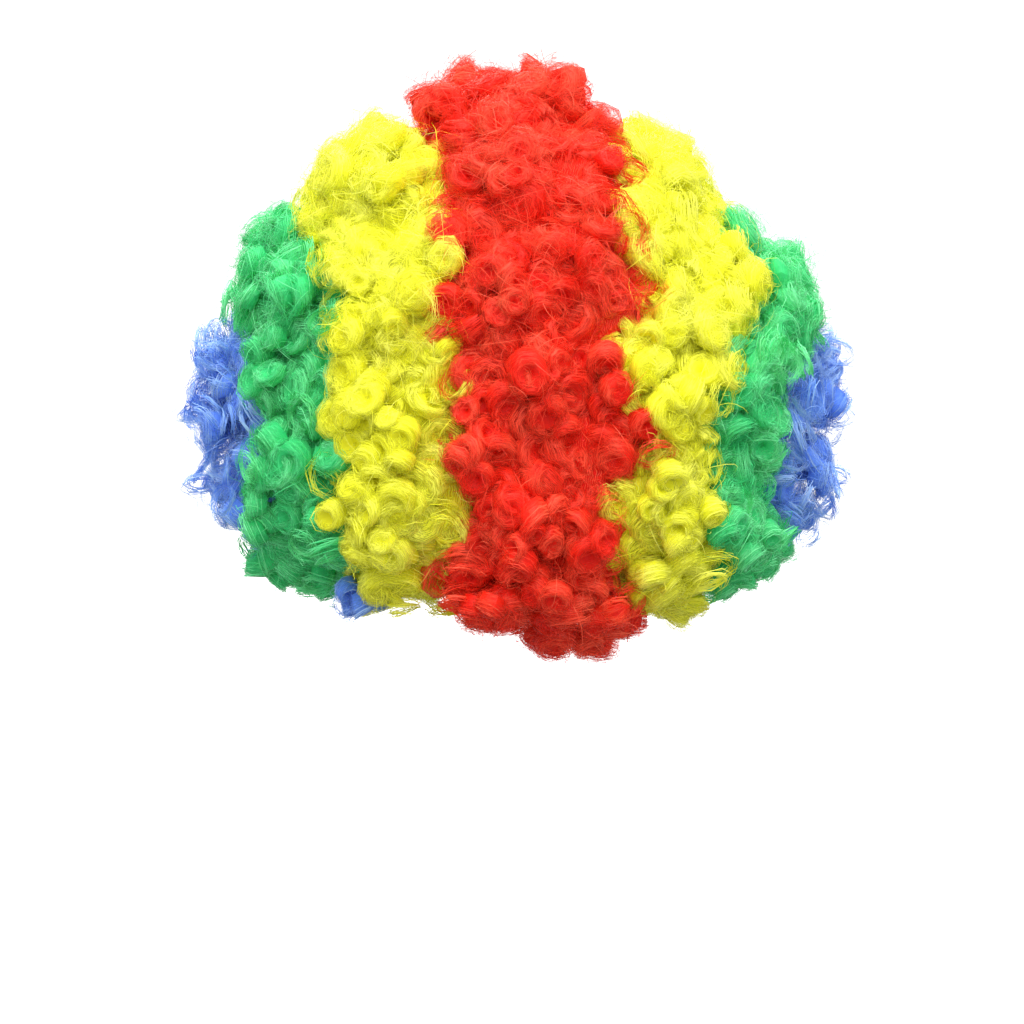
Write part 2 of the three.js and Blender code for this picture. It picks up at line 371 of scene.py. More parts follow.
def hair_reach(direction, band):
    """Distance from the hair's centre to its outer form: an ellipsoid above, and a fuller bowl below, where
    the level and downward shares are summed to a higher power."""
    level = np.hypot(direction[..., 0] / HAIR_HALF_WIDTH, direction[..., 1] / HAIR_HALF_LENGTH)
    up = np.maximum(direction[..., 2], 0) / band["rise"]
    down = np.maximum(-direction[..., 2], 0) / band["fall"]
    above = 1 / np.hypot(level, up)
    below = (level**BOWL_POWER + down**BOWL_POWER) ** (-1 / BOWL_POWER)
    return np.where(direction[..., 2] >= 0, above, below)


def depth_under(points, band):
    """How deep points lie under a band's outer form."""
    offset = points - HAIR_CENTRE
    distance = np.linalg.norm(offset, axis=-1)
    return hair_reach(offset / distance[..., None], band) - distance


def lean_of(points):
    """Lean of points at the hair's centre."""
    offset = points - HAIR_CENTRE
    return np.arcsin(offset[:, 0] / np.linalg.norm(offset, axis=-1))


def band_height(band, lean, spoke):
    """Height of a band at a lean: none along its middle, less a groove that grows with a power of the
    distance from there to its seams."""
    inner, outer = seams_at(band, spoke)
    middle = outer if abs(band["seams"][1]) >= 90 else (inner + outer) / 2
    return -GROOVE_DEPTH * np.clip(np.abs((lean - middle) / (inner - middle)), 0, 1.2) ** BAND_SHOULDER


def hair_surface(band, lean, spoke, offset=0.0):
    """Points of a band's outer form, moved out by offset."""
    direction = hair_direction(lean, spoke)
    reach = hair_reach(direction, band) + band_height(band, lean, spoke) + offset
    return HAIR_CENTRE + direction * reach[..., None]


def plain_surface(band, lean, spoke):
    """Points of a band's outer form without its grooves, from the hair's centre."""
    direction = hair_direction(lean, spoke)
    return direction * hair_reach(direction, band)[..., None]


def hair_normal(band, lean, spoke):
    """Outward normals of the hair's form: the cross product of its two tangents, by small differences."""
    step = 1e-3
    across = plain_surface(band, lean + step, spoke) - plain_surface(band, lean - step, spoke)
    along = plain_surface(band, lean, spoke + step) - plain_surface(band, lean, spoke - step)
    normal = unit(np.cross(along, across) + 1e-12)
    outward = np.sum(normal * hair_direction(lean, spoke), axis=-1, keepdims=True)
    return normal * np.sign(outward)


def in_head_room(points, margin=0.0):
    """Whether points lie in the capped head: an ellipsoid above its widest level, straight walls below."""
    grow = CAP_WALL + margin
    across = points[..., 0] / (HEAD_HALF_WIDTH + grow)
    level = np.hypot(across, points[..., 1] / (HEAD_HALF_LENGTH + grow))
    up = np.maximum(points[..., 2] + HEAD_HALF_HEIGHT, 0) / (HEAD_HALF_HEIGHT + grow)
    return np.hypot(level, up) < 1


def in_face_room(points, margin=0.0):
    """Whether points lie in the arch in front of the face."""
    spring = FACE_TOP - FACE_ARCH_HEIGHT
    above = np.maximum(points[..., 2] - spring, 0) / (FACE_ARCH_HEIGHT + margin)
    across = points[..., 0] / (FACE_HALF_WIDTH + margin)
    return (np.hypot(above, across) < 1) & (points[..., 1] < FACE_BACK)


def inner_reach(direction):
    """Distance along each direction at which it leaves the capped head, by halving the range."""
    low = np.zeros(direction.shape[:-1])
    high = np.full(direction.shape[:-1], FARTHEST)
    for _ in range(HALVINGS):
        middle = (low + high) / 2
        inside = in_head_room(HAIR_CENTRE + direction * middle[..., None])
        low = np.where(inside, middle, low)
        high = np.where(inside, high, middle)
    return high


def rim_depth(turn):
    """Depth of the cap's rim below the crown at each turn from the front: least there, most at the nape."""
    return RIM_DEPTH_FRONT + (RIM_DEPTH_NAPE - RIM_DEPTH_FRONT) * (1 - np.cos(turn)) / 2


def new_mesh(name, vertices, quads):
    """A mesh object from an array of points and an array of four corners for each face."""
    mesh = bpy.data.meshes.new(name)
    mesh.vertices.add(len(vertices))
    mesh.vertices.foreach_set("co", np.ascontiguousarray(vertices, dtype=np.float32).ravel())
    mesh.loops.add(quads.size)
    mesh.loops.foreach_set("vertex_index", np.ascontiguousarray(quads, dtype=np.int32).ravel())
    mesh.polygons.add(len(quads))
    mesh.polygons.foreach_set("loop_start", np.arange(0, quads.size, 4, dtype=np.int32))
    mesh.polygons.foreach_set("use_smooth", np.ones(len(quads), dtype=bool))
    mesh.update(calc_edges=True)
    mesh.validate()
    piece = bpy.data.objects.new(name, mesh)
    bpy.context.collection.objects.link(piece)
    return piece


def set_values(mesh, label, values):
    """A number, or a vector if the last axis of the values has three, for each point of a mesh."""
    vector = values.shape[-1] == 3
    attribute = mesh.attributes.new(label, "FLOAT_VECTOR" if vector else "FLOAT", "POINT")
    attribute.data.foreach_set("vector" if vector else "value", values.astype(np.float32).ravel())


def grid_mesh(name, points, turned=False):
    """Many separate grids as one mesh, from an array of grid, row, column and coordinate. Each has its own
    small square in the map for baking. The faces of turned grids are turned over."""
    count, rows, columns = points.shape[:3]
    number = np.arange(count * rows * columns).reshape(count, rows, columns)
    corners = (number[:, :-1, :-1], number[:, 1:, :-1], number[:, 1:, 1:], number[:, :-1, 1:])
    quads = np.stack(corners, axis=-1)
    quads = np.where(np.reshape(turned, (-1, 1, 1, 1)), quads[..., ::-1], quads).reshape(-1, 4)
    piece = new_mesh(name, points.reshape(-1, 3), quads)
    cells = math.ceil(math.sqrt(count))
    cell_x, cell_y = (part[:, None, None] for part in np.divmod(np.arange(count), cells))
    u = (cell_x + np.linspace(CELL_MARGIN, 1 - CELL_MARGIN, columns)[None, None, :]) / cells
    v = (cell_y + np.linspace(CELL_MARGIN, 1 - CELL_MARGIN, rows)[None, :, None]) / cells
    places = np.stack(np.broadcast_arrays(u, v), axis=-1).reshape(-1, 2)
    bake_map = piece.data.uv_layers.new(name="OFBake")
    bake_map.uv.foreach_set("vector", places[quads.ravel()].astype(np.float32).ravel())
    return piece


def strand_mesh(name, paths, sides, widths, tones):
    """Strands as narrow ribbons: each path moved to both sides by half its width, which runs out to both
    ends. Each carries its tone, with painted shade towards its root."""
    along = np.linspace(0, 1, paths.shape[1])
    taper = np.clip(np.minimum(along, 1 - along) / STRAND_TAPER, 0, 1 - STRAND_END) + STRAND_END
    half = sides * (widths[:, None] * taper * 0.5)[..., None]
    piece = grid_mesh(name, np.stack([paths - half, paths + half], axis=2))
    # Painted shade towards the root of each strand, lighter towards the tip
    tones = tones[:, None] + ROOT_SHADE_TONE * (smooth(2 * along) - 0.5)
    set_values(piece.data, "tone", np.repeat(tones[..., None], 2, axis=2))
    return piece


def finish_piece(piece, band, look):
    """A piece with its look. It stands for the solid of its band or cap. The stray lock stands for none."""
    piece.data.materials.append(look)
    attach(piece, "root")
    if band is not LOCK:
        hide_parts(band["name"])


def cross_frame(axis):
    """Two unit vectors square to each axis and to each other."""
    helper = np.where(np.abs(axis[..., 2:3]) < 0.9, [0.0, 0.0, 1.0], [1.0, 0.0, 0.0])
    first = unit(np.cross(axis, helper))
    return first, np.cross(axis, first)


def shaken(places, spacing, rng):
    """Places moved at random, by up to a share of their spacing."""
    return places + rng.uniform(-SHAKE, SHAKE, places.shape) * spacing


def band_places(band, spacing, rng):
    """Leans and spokes of places spread over a band: staggered rows, each place moved at random."""
    inner, outer = np.radians(band["seams"])
    rows = max(1, round(abs(outer - inner) * HAIR_HALF_WIDTH / (spacing * ROW_SPACING)))
    shares, spokes = [], []
    for row in range(rows):
        lean = inner + (outer - inner) * (row + 0.5) / rows
        count = max(3, round(FULL_TURN * HAIR_HALF_LENGTH * math.cos(lean) / spacing))
        shares.append(np.full(count, (row + 0.5) / rows))
        spokes.append((np.arange(count) + 0.5 * (row % 2)) / count * FULL_TURN)
    share, spoke = np.concatenate(shares), np.concatenate(spokes)
    share = share + rng.uniform(-ROW_SHAKE, ROW_SHAKE, share.shape) / rows
    share = share + rng.normal(0, ROW_STRAY, share.shape) / rows
    round_head = np.maximum(np.cos(inner + share * (outer - inner)), 0.2)
    spoke = shaken(spoke, spacing / HAIR_HALF_WIDTH / round_head, rng)
    inner, outer = seams_at(band, spoke)
    return inner + (outer - inner) * share, spoke


def face_edge_places(rng):
    """Tips and axes of the ringlets round the face: rows along the arch, from its front to the head, with
    axes that lean into the arch and forwards."""
    steps = np.arange(-EDGE_RUN, EDGE_RUN, RINGLET_SPACING)
    depths = np.arange(*EDGE_DEPTHS, -RINGLET_SPACING)
    run, depth = np.meshgrid(steps, depths)
    run = shaken(run, RINGLET_SPACING, rng)
    depth = shaken(depth, RINGLET_SPACING, rng)
    quarter = FACE_HALF_WIDTH * EDGE_QUARTER
    angle = np.clip(run / quarter, -1, 1) * math.pi / 2
    straight = np.maximum(np.abs(run) - quarter, 0)
    x = FACE_HALF_WIDTH * np.sin(angle)
    z = FACE_TOP - FACE_ARCH_HEIGHT * (1 - np.cos(angle)) - straight
    tips = np.stack([x, depth, z], axis=-1).reshape(-1, 3)
    into = np.stack([-np.sin(angle), np.full_like(angle, -EDGE_FORWARD), -np.cos(angle)], axis=-1)
    keep = (depth_under(tips, BAND_ROWS[1]) > EDGE_UNDER) & ~in_head_room(tips, margin=0.003)
    return tips[keep], unit(into.reshape(-1, 3)[keep])


def inner_places(rng):
    """Tips and axes of the ringlets inside the wig: rows round the wall of the head's room, below the cap's
    rim, with axes that lean inwards and down."""
    turn_step = INNER_SPACING / HEAD_HALF_LENGTH
    turn, level = np.meshgrid(np.arange(0, FULL_TURN, turn_step), np.arange(*INNER_LEVELS, -INNER_SPACING))
    turn = shaken(turn, turn_step, rng)
    level = shaken(level, INNER_SPACING, rng)
    inward = np.stack([-np.sin(turn), np.cos(turn), np.zeros_like(turn)], axis=-1)
    wall = np.array([HEAD_HALF_WIDTH, HEAD_HALF_LENGTH, 0]) + CAP_WALL
    tips = -inward * wall + level[..., None] * [0, 0, 1]
    below_rim = level < -rim_depth(turn) - INNER_BELOW_RIM
    keep = below_rim & (depth_under(tips, BAND_ROWS[1]) > INNER_UNDER) & ~in_face_room(tips, margin=0.006)
    tips = tips + inward * rng.uniform(*INNER_STAND, turn.shape)[..., None]
    return tips[keep], unit(inward[keep] + [0, 0, -INNER_HANG])


def band_ringlets(band, edge_tips, edge_axes, rng):
    """The ringlets of a band. They stand along the normals of the hair's form, and hang a little. Those of a
    tuft are drawn to its middle, fan out from it and are highest there, by the square of the distance. Those
    round the face and inside are added. Any whose root would stick out of the hair's form is shortened."""
    tuft_lean, tuft_spoke = band_places(band, TUFT_SPACING, rng)
    tufts = hair_surface(band, tuft_lean, tuft_spoke)
    lean, spoke = band_places(band, RINGLET_SPACING, rng)
    points = hair_surface(band, lean, spoke)
    normals = hair_normal(band, lean, spoke)
    offsets = points[:, None] - tufts
    nearest = np.argmin(np.linalg.norm(offsets, axis=-1), axis=1)
    offset = offsets[np.arange(len(points)), nearest]
    away = np.clip(np.linalg.norm(offset, axis=-1) / TUFT_RADIUS, 0, TUFT_REACH)

    inner, outer = seams_at(band, spoke)
    to_seam = np.minimum(np.abs(lean - inner), np.abs(lean - outer)) * HAIR_HALF_WIDTH
    at_seam = np.where(to_seam < SEAM_REACH, OPEN_AT_SEAM, 0)
    hem = smooth((HAIR_CENTRE[2] - band["fall"] + HEM_HEIGHT - points[:, 2]) / HEM_HEIGHT)
    chance = np.maximum(np.maximum(at_seam, band["loose"]), OPEN_AT_HEM * hem)
    is_open = rng.random(len(points)) < chance

    depth = rng.uniform(*TIP_DEPTH, len(points)) + TUFT_HEIGHT * (0.5 - away**2) + OPEN_STAND * is_open
    depth += np.interp(np.degrees(lean), CROWN_LEANS, CROWN_LUMPS) * np.maximum(np.cos(spoke), 0)
    depth += HEM_DROP * smooth((HEM_LEVEL - points[:, 2]) / HEM_DROP_FADE)
    tips = points - offset * TUFT_PULL + normals * depth[:, None]
    open_lean = OPEN_LEAN[0] + OPEN_LEAN[1] * band["loose"]
    stray = np.where(is_open, open_lean, RINGLET_LEAN)[:, None] * rng.normal(0, 1, normals.shape)
    fan = np.where(is_open, OPEN_FAN, 1)[:, None] * offset * (TUFT_FAN / TUFT_RADIUS)
    axes = normals + fan + stray + [0, 0, -RINGLET_HANG]
    clear = ~(in_head_room(tips - normals * 0.012, margin=0.004) | in_face_room(tips, margin=0.004))

    low, high = sorted(band["seams"])
    edge_lean = np.degrees(lean_of(edge_tips))
    mine = (edge_lean >= low) & (edge_lean < high)
    edge_lie = edge_axes[mine] + rng.normal(0, EDGE_STRAY, (mine.sum(), 3))
    tips = np.concatenate([tips[clear], edge_tips[mine]])
    axes = unit(np.concatenate([axes[clear], edge_lie]))
    is_open = np.concatenate([is_open[clear], rng.random(mine.sum()) < band["loose"]])
    lengths = np.full(len(tips), RINGLET_LENGTH)
    for _ in range(SHORTENINGS):
        stick_out = depth_under(tips - axes * lengths[:, None], band) < ROOT_DEPTH
        lengths = np.where(stick_out, SHORTENED * lengths, lengths)
    return sized_ringlets(tips, axes, is_open, RINGLET_RADIUS, lengths, rng)


def under_ringlets(band, rng):
    """Shorter curls under a band's ringlets, along the normals of the hair's form, fewer in a loose band."""
    lean, spoke = band_places(band, UNDER_SPACING, rng)
    normals = hair_normal(band, lean, spoke)
    tips = hair_surface(band, lean, spoke, rng.uniform(*UNDER_DEPTH, len(lean)))
    clear = ~(in_head_room(tips - normals * 0.006, margin=0.003) | in_face_room(tips, margin=0.010))
    clear &= rng.random(len(tips)) > UNDER_THINNED * band["loose"]
    axes = unit(normals + rng.normal(0, UNDER_STRAY, normals.shape))
    is_open = np.zeros(clear.sum(), dtype=bool)
    return sized_ringlets(tips[clear], axes[clear], is_open, UNDER_RADIUS, UNDER_LENGTH, rng)


def sized_ringlets(tips, axes, is_open, radius, length, rng):
    """Ringlets with these tips and axes, each with a size, a winding, a hollow and a tone of its own. Frizz
    grows with the height in the wig, and again at its lower edge. Frizzy ringlets have small hollows."""
    count = len(tips)
    frizz = LEAST_FRIZZ + (1 - LEAST_FRIZZ) * smooth((tips[:, 2] + FRIZZ_DEPTH) / FRIZZ_DEPTH)
    frizz = frizz + HEM_FRIZZ * smooth((HEM_LEVEL - tips[:, 2]) / HEM_HEIGHT)
    hollow = rng.random(count) ** (HOLLOW_POWER[0] + HOLLOW_POWER[1] * frizz)
    return {
        "tip": tips,
        "axis": axes,
        "open": is_open,
        "radius": radius * rng.uniform(*RADIUS_FACTORS, count) * (1 + FRIZZ_SWELL * frizz),
        "length": length * rng.uniform(*LENGTH_FACTORS, count),
        "turns": RINGLET_TURNS * rng.uniform(*TURNS_FACTORS, count) * rng.choice([-1.0, 1.0], count),
        "slant": rng.uniform(*SLANTS, count),
        "hole": HOLE_WIDTH[0] + HOLE_WIDTH[1] * hollow,
        "sink": HOLE_SINK[0] + HOLE_SINK[1] * hollow,
        "phase": rng.uniform(0, FULL_TURN, count),
        "tone": rng.uniform(*TONES, count),
        "frizz": frizz,
    }


def picked(ringlets, keep):
    """Some of the ringlets, by number or by whether to keep each."""
    return {key: values[keep] for key, values in ringlets.items()}


def column_of(ringlets, key):
    """One value of each ringlet, shaped to go with arrays of ringlet, strand and step."""
    return ringlets[key][:, None, None]


def share_between(share, start, end):
    """How far shares are from a start to an end, from 0 to 1."""
    return np.clip((share - start) / (end - start), 0, 1)


def ringlet_outline(share, radius, length, hole, sink):
    """Outline of a ringlet, as radius and height from its tip. It goes up the barrel, which swells from the
    root, over a round shoulder, down the side of a hollow in the tip, and over its floor to the axis."""
    shoulder = (SHOULDER_WIDTH[0] - SHOULDER_WIDTH[1] * hole) * radius
    crest = radius - shoulder
    up = share_between(share, 0, BARREL_END)
    over = math.pi / 2 * share_between(share, BARREL_END, SHOULDER_END)
    down = share_between(share, SHOULDER_END, HOLLOW_END)
    inward = share_between(share, HOLLOW_END, 1)
    swell = ROOT_WIDTH + (1 - ROOT_WIDTH) * smooth(up / SWELL_SHARE)
    top = (crest * (1 - down) + hole * radius * down) * (1 - FLOOR_WIDTH * inward)
    wide = np.where(share < BARREL_END, radius * swell, top + shoulder * np.cos(over))
    rise = -shoulder - (length - shoulder) * (1 - up)
    fall = shoulder * (np.sin(over) - 1) - sink * radius * (down + FLOOR_SINK * inward)
    return wide, np.where(share < BARREL_END, rise, fall)


def outline_run(share, radius, length):
    """Length along a ringlet's outline from its root."""
    over = math.pi / 2 * share_between(share, BARREL_END, SHOULDER_END)
    inward = share_between(share, SHOULDER_END, 1)
    return length * share_between(share, 0, BARREL_END) + 0.5 * radius * over + 0.7 * radius * inward


def on_ringlets(ringlets, share, angle, stand_off):
    """Points of ringlets, and their directions from the axis: round it by angle and along the outline by
    share. The tip is cut at a slant, and the axis bows upwards in its middle, so that tips hang."""
    radius, length = column_of(ringlets, "radius"), column_of(ringlets, "length")
    hole, sink = column_of(ringlets, "hole"), column_of(ringlets, "sink")
    wide, high = ringlet_outline(share, radius, length, hole, sink)
    wide = wide * stand_off
    climb = np.clip(1 + high / length, 0, 1)
    slanted = wide * climb * np.cos(angle - column_of(ringlets, "phase"))
    high = high + column_of(ringlets, "slant") * slanted
    first, second = (v[:, None, None] for v in cross_frame(ringlets["axis"]))
    radial = first * np.cos(angle)[..., None] + second * np.sin(angle)[..., None]
    along = ringlets["axis"][:, None, None] * high[..., None]
    points = ringlets["tip"][:, None, None] + radial * wide[..., None] + along
    points[..., 2] += RINGLET_BOW * length * climb * (1 - climb)
    return points, radial


def swollen(ringlets, size):
    """Ringlets with their radii times a size, and tips moved along the axes as far as the radii grow."""
    grown = ringlets["radius"] * size
    tips = ringlets["tip"] + ringlets["axis"] * (grown - ringlets["radius"])[:, None]
    return {**ringlets, "tip": tips, "radius": grown}


def roll_points(rolls, shares, widths, turns, growth, rng):
    """Sheets rolled round ringlets: round the axis by a number of turns, while the radius grows evenly, and
    along the outline by shares, each with its own width, uneven by a wave. Gives points, angles and how far
    round each is."""
    count = len(rolls["tip"])
    grid = (count, ROLL_AROUND + 1, len(shares))
    around = np.linspace(0, 1, ROLL_AROUND + 1)[None, :, None]
    winding = np.sign(column_of(rolls, "turns")) * FULL_TURN * turns
    angle = np.broadcast_to(rng.uniform(0, FULL_TURN, (count, 1, 1)) + winding * around, grid)
    wave = np.sin(2 * angle + 5 * shares + rng.uniform(0, FULL_TURN, (count, 1, 1)))
    uneven = ROLL_WAVE[0] + ROLL_WAVE[1] * column_of(rolls, "frizz")
    stand_off = 1 + growth * (around - 0.5) + uneven * wave
    points, _ = on_ringlets(rolls, np.broadcast_to(shares, grid), angle, stand_off * widths)
    return points, angle, around


def roll_piece(band, label, points, rolls, shares, place, look):
    """Rolled sheets as one mesh, with places for the pattern of fibres, and a tone with a painted highlight
    round the shoulder and painted shade in the hollow."""
    piece = grid_mesh(band["name"] + label, points, rolls["turns"] < 0)
    # Painted highlight round the shoulder and painted shade in the hollow of each curl
    shoulder = smooth((shares - 0.3) / 0.2) * smooth((0.95 - shares) / 0.25)
    hollow = smooth((shares - 0.75) / 0.25)
    tone = CURL_TONE + column_of(rolls, "tone") + SHOULDER_HIGHLIGHT_TONE * shoulder - HOLLOW_SHADE_TONE * hollow
    set_values(piece.data, "tone", np.broadcast_to(tone, points.shape[:-1])[..., None])
    set_values(piece.data, "fibre_place", place)
    finish_piece(piece, band, look)
    return piece


def roll_numbers(rolls):
    """A number of its own for each rolled sheet, far from the others."""
    return np.arange(len(rolls["tip"]))[:, None, None] * ROLL_NUMBER_STEP


def roll_run(rolls, shares):
    """Millimetres along the outlines of rolled sheets."""
    return outline_run(shares, column_of(rolls, "radius"), column_of(rolls, "length")) * 1000


def make_cores(band, closed, look, rng):
    """The cores of a band's ringlets, each with a pinhole at both ends. Places for the pattern of fibres go
    along the outline and round a small circle, so that the pattern closes."""
    rolls = swollen(closed, CORE_SIZE)
    points, angle, _ = roll_points(rolls, CORE_SHARES, CORE_WIDTHS, 1, 0, rng)
    number = roll_numbers(rolls)
    tilted = roll_run(rolls, CORE_SHARES) + CORE_TILT * np.sin(angle + number)
    circle = (CORE_CIRCLE * np.cos(angle) + number, CORE_CIRCLE * np.sin(angle) + number)
    roll_piece(band, "_cores", points, rolls, CORE_SHARES, np.stack([tilted, *circle], axis=-1), look)


def make_sheets(band, label, rolls, shares, most, drift, look, rng):
    """Sheets of fibre rolled by more than a turn, so that the outer edge lies over the start. Their cover,
    how much of them is fibre, thins out towards the edges. Drift is how far fibres climb in a turn."""
    points, angle, around = roll_points(rolls, shares, 1, SHEET_TURNS, SHEET_GROWTH, rng)
    number = np.broadcast_to(roll_numbers(rolls), angle.shape)
    climbing = roll_run(rolls, shares) + drift * around
    place = np.stack([climbing, SHEET_STRETCH * around + number, number], axis=-1)
    piece = roll_piece(band, label, points, rolls, shares, place, look)
    root = smooth((shares - shares[0] + 0.12) / 0.2)
    edges = smooth(around / 0.1 + 0.3) * smooth((1 - around) / 0.1 + 0.3)
    cover = np.broadcast_to(most * (1 - LOOSE_COVER * band["loose"]) * root * edges, angle.shape)
    set_values(piece.data, "cover", cover[..., None])


def make_fibres(band, ringlets, look, rng):
    """Single fibres of a band's ringlets: each winds round its axis while it goes along part of the outline,
    and stands off it a little. Those of frizzy ringlets stand off further and sway by two waves. An open
    ringlet is made of these alone: they start side by side and stay off the middle of its tip."""
    number = np.where(ringlets["open"], OPEN_FIBRES["number"], CLOSED_FIBRES["number"])
    owners = picked(ringlets, np.repeat(np.arange(len(number)), number))
    is_open = column_of(owners, "open")
    frizz = column_of(owners, "frizz")
    one = is_open.shape
    along = np.linspace(0, 1, FIBRE_STEPS + 1)
    open_begin = rng.uniform(*OPEN_FIBRES["begin"], one)
    begin = np.where(is_open, open_begin, rng.uniform(*CLOSED_FIBRES["begin"], one))
    open_end = np.minimum(begin + rng.uniform(*OPEN_FIBRES["run"], one), OPEN_END)
    end = np.where(is_open, open_end, begin + CLOSED_FIBRES["run"] * rng.random(one))
    share = begin + (end - begin) * along
    open_start = rng.normal(0, OPEN_START, one)
    start = np.where(is_open, open_start, rng.uniform(0, FULL_TURN, one)) + column_of(owners, "phase")
    winding = FULL_TURN * column_of(owners, "turns")
    angle = start + winding * np.where(is_open, OPEN_FIBRES["turn"] * share, CLOSED_FIBRES["turn"] * along)
    least, more = CLOSED_FIBRES["spread"]
    spread = np.where(is_open, OPEN_FIBRES["spread"], least + more * frizz)
    stand_off = np.broadcast_to(FIBRE_STAND + rng.normal(0, 1, one) * spread, share.shape)
    paths, radial = on_ringlets(owners, share, angle, stand_off)
    for waves in FIBRE_SWAY_WAVES:
        beat = np.sin(FULL_TURN * (waves * along + rng.random(one)))
        sway = rng.normal(0, FIBRE_SWAY, (*one, 3)) * np.where(is_open, OPEN_SWAY, frizz)[..., None]
        paths += sway * beat[..., None]
    paths, radial = paths[:, 0], radial[:, 0]
    sides = unit(np.cross(np.gradient(paths, axis=1), radial))
    # The high tone paints a highlight on the single fibres
    tones = FIBRE_HIGHLIGHT_TONE + owners["tone"] + rng.normal(0, STRAND_TONE_STRAY, len(paths))
    widths = FIBRE_WIDTH * rng.uniform(*STRAND_WIDTHS, len(paths))
    finish_piece(strand_mesh(band["name"] + "_fibres", paths, sides, widths, tones), band, look)


def make_frizz(band, ringlets, look, rng):
    """Loose fibres of a band, more where the hair is frizzy: each is part of a circle round a ringlet's tip,
    a little larger than it, with the part's middle on the outer side. Some are small loops beside it."""
    least, most = FRIZZ_PER_RINGLET
    number = np.round(least + (most - least) * ringlets["frizz"] ** 2).astype(int)
    number = np.where(ringlets["open"], FRIZZ_PER_OPEN, number)
    owners = picked(ringlets, np.repeat(np.arange(len(number)), number))
    count = len(owners["tip"])
    radius = owners["radius"]
    along = np.linspace(-1, 1, FRIZZ_STEPS + 1)
    is_loop = rng.random(count) < LOOP_SHARE
    near, low, high = FRIZZ_REACH
    far = near + (low - near + (high - low) * owners["frizz"]) * rng.random(count) ** 2
    outward = unit(owners["axis"] + rng.normal(0, FRIZZ_LEAN, (count, 3)))
    reach = radius * np.where(is_loop, rng.uniform(*LOOP_RADII, count), far)
    middle = owners["tip"] - owners["axis"] * (FRIZZ_CENTRE * radius)[:, None]
    beside = outward * (is_loop * radius * rng.uniform(*LOOP_BESIDE, count))[:, None]
    centre = middle + beside + rng.normal(0, FRIZZ_SCATTER, (count, 3))
    facing = unit(np.where(is_loop[:, None], rng.normal(0, 1, (count, 3)), outward))
    across = unit(np.cross(facing, rng.normal(0, 1, (count, 3))))
    loop_turn = rng.uniform(*LOOP_TURNS, count)
    angle = np.where(is_loop, loop_turn, rng.uniform(*ARC_TURNS, count))[:, None] * along
    swell = 1 + rng.normal(0, FRIZZ_UNEVEN, count)[:, None] * along
    radial = facing[:, None] * np.cos(angle)[..., None] + across[:, None] * np.sin(angle)[..., None]
    paths = centre[:, None] + radial * (reach[:, None] * swell)[..., None]
    sides = np.broadcast_to(np.cross(facing, across)[:, None], paths.shape)
    aside = rng.normal(0, FRIZZ_ASIDE, count)[:, None] * along**2
    paths = paths + sides * aside[..., None]
    widths = FRIZZ_WIDTH * rng.uniform(*STRAND_WIDTHS, count)
    # The high tone paints a highlight on the frizz
    tones = FRIZZ_HIGHLIGHT_TONE + owners["tone"] + rng.normal(0, STRAND_TONE_STRAY, count)
    finish_piece(strand_mesh(band["name"] + "_frizz", paths, sides, widths, tones), band, look)


def make_backing(band, look):
    """The matted roots under the ringlets: a closed shell from the cap to a lumpy surface below the tips,
    left out at the face and under the head. Rows of its grid run across the band, columns round the head."""
    columns = np.linspace(0, FULL_TURN, BACKING_COLUMNS, endpoint=False)
    share, spoke = np.meshgrid(np.linspace(0, 1, BACKING_ROWS), columns, indexing="ij")
    inner, outer = seams_at(band, spoke)
    lean = np.clip(inner + (outer - inner) * share, -POLE_LEAN, POLE_LEAN)
    direction = hair_direction(lean, spoke)
    lump = BACKING_LUMP * np.sin(lean * 31 + spoke * 7) * np.sin(spoke * 23 - lean * 11)
    outside = hair_surface(band, lean, spoke, lump - BACKING_DEPTH * (1 + band["loose"]))
    near = inner_reach(direction) + BACKING_GAP
    inside = HAIR_CENTRE + direction * near[..., None]
    thick = np.linalg.norm(outside - HAIR_CENTRE, axis=-1) > near + BACKING_LEAST
    keep_point = thick & ~in_face_room(outside, margin=0.012)
    keep = keep_point[:-1] & keep_point[1:]
    keep = keep & np.roll(keep, -1, axis=1)

    number = np.arange(lean.size).reshape(lean.shape)
    a, b = number[:-1], number[1:]
    c, d = np.roll(b, -1, axis=1), np.roll(a, -1, axis=1)
    shell = lean.size
    outer_faces = np.stack([a, b, c, d], axis=-1)[keep]
    faces = [outer_faces, outer_faces[:, ::-1] + shell]
    padded = np.pad(keep, ((1, 1), (0, 0)))
    sides = (
        (np.roll(keep, 1, axis=1), a, b),
        (padded[2:], b, c),
        (np.roll(keep, -1, axis=1), c, d),
        (padded[:-2], d, a),
    )
    for neighbour, start, stop in sides:
        edge = keep & ~neighbour
        start, stop = start[edge], stop[edge]
        faces.append(np.stack([start + shell, stop + shell, stop, start], axis=-1))
    quads = np.concatenate(faces)
    if band["seams"][1] < band["seams"][0]:
        quads = quads[:, ::-1]
    vertices = np.concatenate([outside.reshape(-1, 3), inside.reshape(-1, 3)])
    used, quads = np.unique(quads, return_inverse=True)
    piece = new_mesh(band["name"] + "_roots", vertices[used], quads.reshape(-1, 4))
    finish_piece(piece, band, look)


